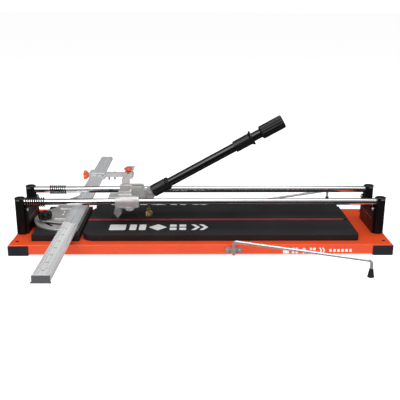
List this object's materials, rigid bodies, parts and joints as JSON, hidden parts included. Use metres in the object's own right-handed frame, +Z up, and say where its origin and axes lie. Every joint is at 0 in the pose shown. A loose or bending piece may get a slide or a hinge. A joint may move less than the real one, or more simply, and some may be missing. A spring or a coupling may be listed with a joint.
{
  "type": "tile cutter",
  "caption": "Manual push tile cutter: folded steel base, twin guide rods, cast carriage with lever, scoring wheel and breaker foot, swivelling fence with sliding stop and swing-out side arms.",
  "frame": {"origin": "centre of the base tray at bench level, which is the centre of its four bench-screw holes", "axes": "+X to the right along the cut, +Y to the back along the fence, +Z up"},
  "size_m": [1.106, 1.258, 0.3773],
  "materials": {
    "orange_paint": "semi-gloss powder coat",
    "foot_plastic": "fine moulded texture",
    "mat_rubber": "matt, faintly grained",
    "rib_red": "satin",
    "black_post": "satin black",
    "zinc": "bright zinc plate",
    "chrome": "polished hard chrome",
    "spring_steel": "black oxide",
    "cast_alloy": "fine-blasted casting",
    "extruded_alloy": "drawn, clear anodised",
    "bush_bronze": "sintered bronze",
    "handle_paint": "gloss black",
    "grip_plastic": "satin moulded",
    "cap_grey": "fine moulded texture",
    "brass": "machined",
    "hard_steel": "ground carbide",
    "knob_orange": "glossy moulded",
    "tip_rubber": "matt"
  },
  "bodies": {
    "base": {"base_tray": "orange_paint", "foot_front_left": "foot_plastic", "foot_front_right": "foot_plastic", "foot_rear_left": "foot_plastic", "foot_rear_right": "foot_plastic", "mat_front": "mat_rubber", "mat_rear": "mat_rubber", "protractor_plinth": "mat_rubber", "breaking_rib": "rib_red", "post_front_left": "black_post", "post_front_right": "black_post", "post_rear_left": "black_post", "post_rear_right": "black_post", "post_caps": "black_post", "end_plate_left": "black_post", "end_plate_right": "black_post", "post_bolts": "zinc", "end_plate_screws": "zinc", "guide_rod_front": "chrome", "guide_rod_rear": "chrome", "protractor_dial": "cast_alloy", "swivel_bolt": "zinc", "arm_bracket_front": "zinc", "arm_bracket_rear": "zinc", "bracket_rivets": "zinc"},
    "carriage": {"carriage_body": "cast_alloy", "rod_bushes": "bush_bronze", "handle_pivot_pin": "zinc", "breaker_pin": "zinc"},
    "handle": {"handle_lever": "cast_alloy", "handle_tube": "handle_paint", "handle_collar": "grip_plastic", "hand_guard": "grip_plastic", "end_grip": "grip_plastic", "wheel_holder": "brass", "wheel_axle": "zinc"},
    "wheel": {"scoring_wheel": "hard_steel"},
    "breaker": {"breaker_foot": "cast_alloy"},
    "fence": {"fence_wing": "cast_alloy", "fence_ruler": "extruded_alloy", "fence_scale": "extruded_alloy", "fence_screws": "zinc", "ruler_end_cap": "cap_grey"},
    "fence_lock": {"lock_knob": "grip_plastic", "lock_stud": "zinc"},
    "stop": {"stop_slider": "extruded_alloy", "stop_crossbar": "extruded_alloy", "crossbar_screws": "zinc", "arm_shoe": "extruded_alloy"},
    "stop_clamp": {"stop_knob": "knob_orange", "stop_screw": "zinc"},
    "stop_finger": {"stop_arm": "extruded_alloy"},
    "finger_clamp": {"arm_knob": "knob_orange", "arm_stud": "zinc"},
    "swing_arm_front": {"side_arm_front": "zinc", "arm_tip_front": "tip_rubber"},
    "swing_arm_rear": {"side_arm_rear": "zinc", "arm_tip_rear": "tip_rubber"},
    "spring_front": {"bumper_spring_front": "spring_steel"},
    "spring_rear": {"bumper_spring_rear": "spring_steel"}
  },
  "joints": [
    {"name": "carriage_slide", "type": "slide", "parent": "base", "child": "carriage", "axis": [1, 0, 0], "range_m": [-0.066, 0.615]},
    {"name": "handle_lift", "type": "hinge", "parent": "carriage", "child": "handle", "pos_m": [-0.186, 0, 0.127], "axis": [0, -1, 0], "range_deg": [0, 55]},
    {"name": "wheel_spin", "type": "hinge", "parent": "handle", "child": "wheel", "pos_m": [-0.159, 0, 0.071], "axis": [0, 1, 0], "continuous": true},
    {"name": "breaker_fold", "type": "hinge", "parent": "carriage", "child": "breaker", "pos_m": [-0.254, 0, 0.106], "axis": [0, 1, 0], "range_deg": [0, 80]},
    {"name": "fence_swivel", "type": "hinge", "parent": "base", "child": "fence", "pos_m": [-0.392, 0.008, 0.055], "axis": [0, 0, 1], "range_deg": [-45, 25]},
    {"name": "lock_turn", "type": "hinge", "parent": "fence", "child": "fence_lock", "pos_m": [-0.4742, -0.0235, 0.07], "axis": [0, 0, 1], "range_deg": [-30, 360]},
    {"name": "stop_slide", "type": "slide", "parent": "fence", "child": "stop", "axis": [0, 1, 0], "range_m": [-0.155, 0.24]},
    {"name": "stop_clamp_turn", "type": "hinge", "parent": "stop", "child": "stop_clamp", "pos_m": [-0.428, 0.497, 0.065], "axis": [1, 0, 0], "range_deg": [-30, 360]},
    {"name": "finger_slide", "type": "slide", "parent": "stop", "child": "stop_finger", "axis": [0, 1, 0], "range_m": [-0.05, 0.07]},
    {"name": "finger_clamp_turn", "type": "hinge", "parent": "stop", "child": "finger_clamp", "pos_m": [-0.2665, 0.475, 0.095], "axis": [0, 0, 1], "range_deg": [-30, 360]},
    {"name": "front_arm_swing", "type": "hinge", "parent": "base", "child": "swing_arm_front", "pos_m": [0.093, -0.178, 0.046], "axis": [0, 0, -1], "range_deg": [-22, 130]},
    {"name": "rear_arm_swing", "type": "hinge", "parent": "base", "child": "swing_arm_rear", "pos_m": [0.118, 0.178, 0.046], "axis": [0, 0, 1], "range_deg": [-22, 130]},
    {"name": "front_spring_slip", "type": "slide", "parent": "base", "child": "spring_front", "axis": [1, 0, 0], "range_m": [0, 0.06]},
    {"name": "rear_spring_slip", "type": "slide", "parent": "base", "child": "spring_rear", "axis": [1, 0, 0], "range_m": [-0.04, 0.06]}
  ]
}
